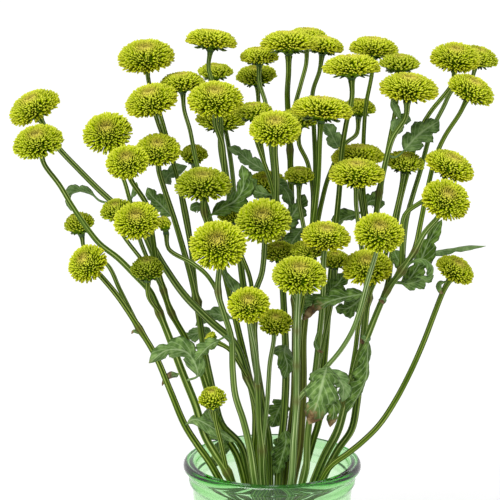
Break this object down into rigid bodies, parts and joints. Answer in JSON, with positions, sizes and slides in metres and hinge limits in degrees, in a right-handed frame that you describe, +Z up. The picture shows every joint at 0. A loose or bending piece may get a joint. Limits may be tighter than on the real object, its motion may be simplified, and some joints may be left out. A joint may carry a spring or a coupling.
{
  "type": "pompon chrysanthemum bouquet in vase",
  "caption": "Green pompon chrysanthemum sprays with leaves, standing in a round flared vase of pale green glass.",
  "frame": {"origin": "centre of the vase's foot, on the surface it stands on", "axes": "+Z up through the vase's axis, -Y towards the front of the arrangement, +X to its right"},
  "size_m": [0.3719, 0.2144, 0.5456],
  "materials": {
    "floret": "matte yellow-green petals, darker green between them",
    "stem": "ribbed green stems with a faint sheen",
    "leaf": "dark matte leaves with a greyer underside",
    "glass": "clear pale green glass with a polished rolled lip"
  },
  "bodies": {
    "root": {"bloom_01": "floret", "bloom_02": "floret", "bloom_03": "floret", "bloom_04": "floret", "bloom_05": "floret", "bloom_06": "floret", "bloom_07": "floret", "bloom_10": "floret", "bloom_11": "floret", "bloom_12": "floret", "bloom_13": "floret", "bloom_14": "floret", "bloom_16": "floret", "bloom_17": "floret", "bloom_19": "floret", "bloom_20": "floret", "bloom_22": "floret", "bloom_23": "floret", "bloom_26": "floret", "bloom_30": "floret", "bloom_31": "floret", "bloom_33": "floret", "bloom_34": "floret", "bloom_35": "floret", "bloom_36": "floret", "bloom_38": "floret", "bloom_39": "floret", "bloom_42": "floret", "bloom_45": "floret", "bloom_46": "floret", "bloom_48": "floret", "bloom_49": "floret", "bloom_50": "floret", "bloom_53": "floret", "bloom_55": "floret", "bloom_56": "floret", "leaf_far": "leaf", "leaf_front": "leaf", "leaf_left": "leaf", "leaf_right": "leaf", "leaf_top": "leaf", "stem_front": "stem", "stem_front_inner": "stem", "stem_front_left": "stem", "stem_front_right": "stem", "stem_left_inner": "stem", "stem_left_long": "stem", "stem_left_low": "stem", "stem_left_thick": "stem", "stem_left_upright": "stem", "stem_mid": "stem", "stem_mid_back": "stem", "stem_mid_brown": "stem", "stem_mid_far": "stem", "stem_mid_left": "stem", "stem_right_back": "stem", "stem_right_low": "stem", "stem_right_mid": "stem", "stem_right_thick": "stem", "vase": "glass"}
  },
  "joints": []
}
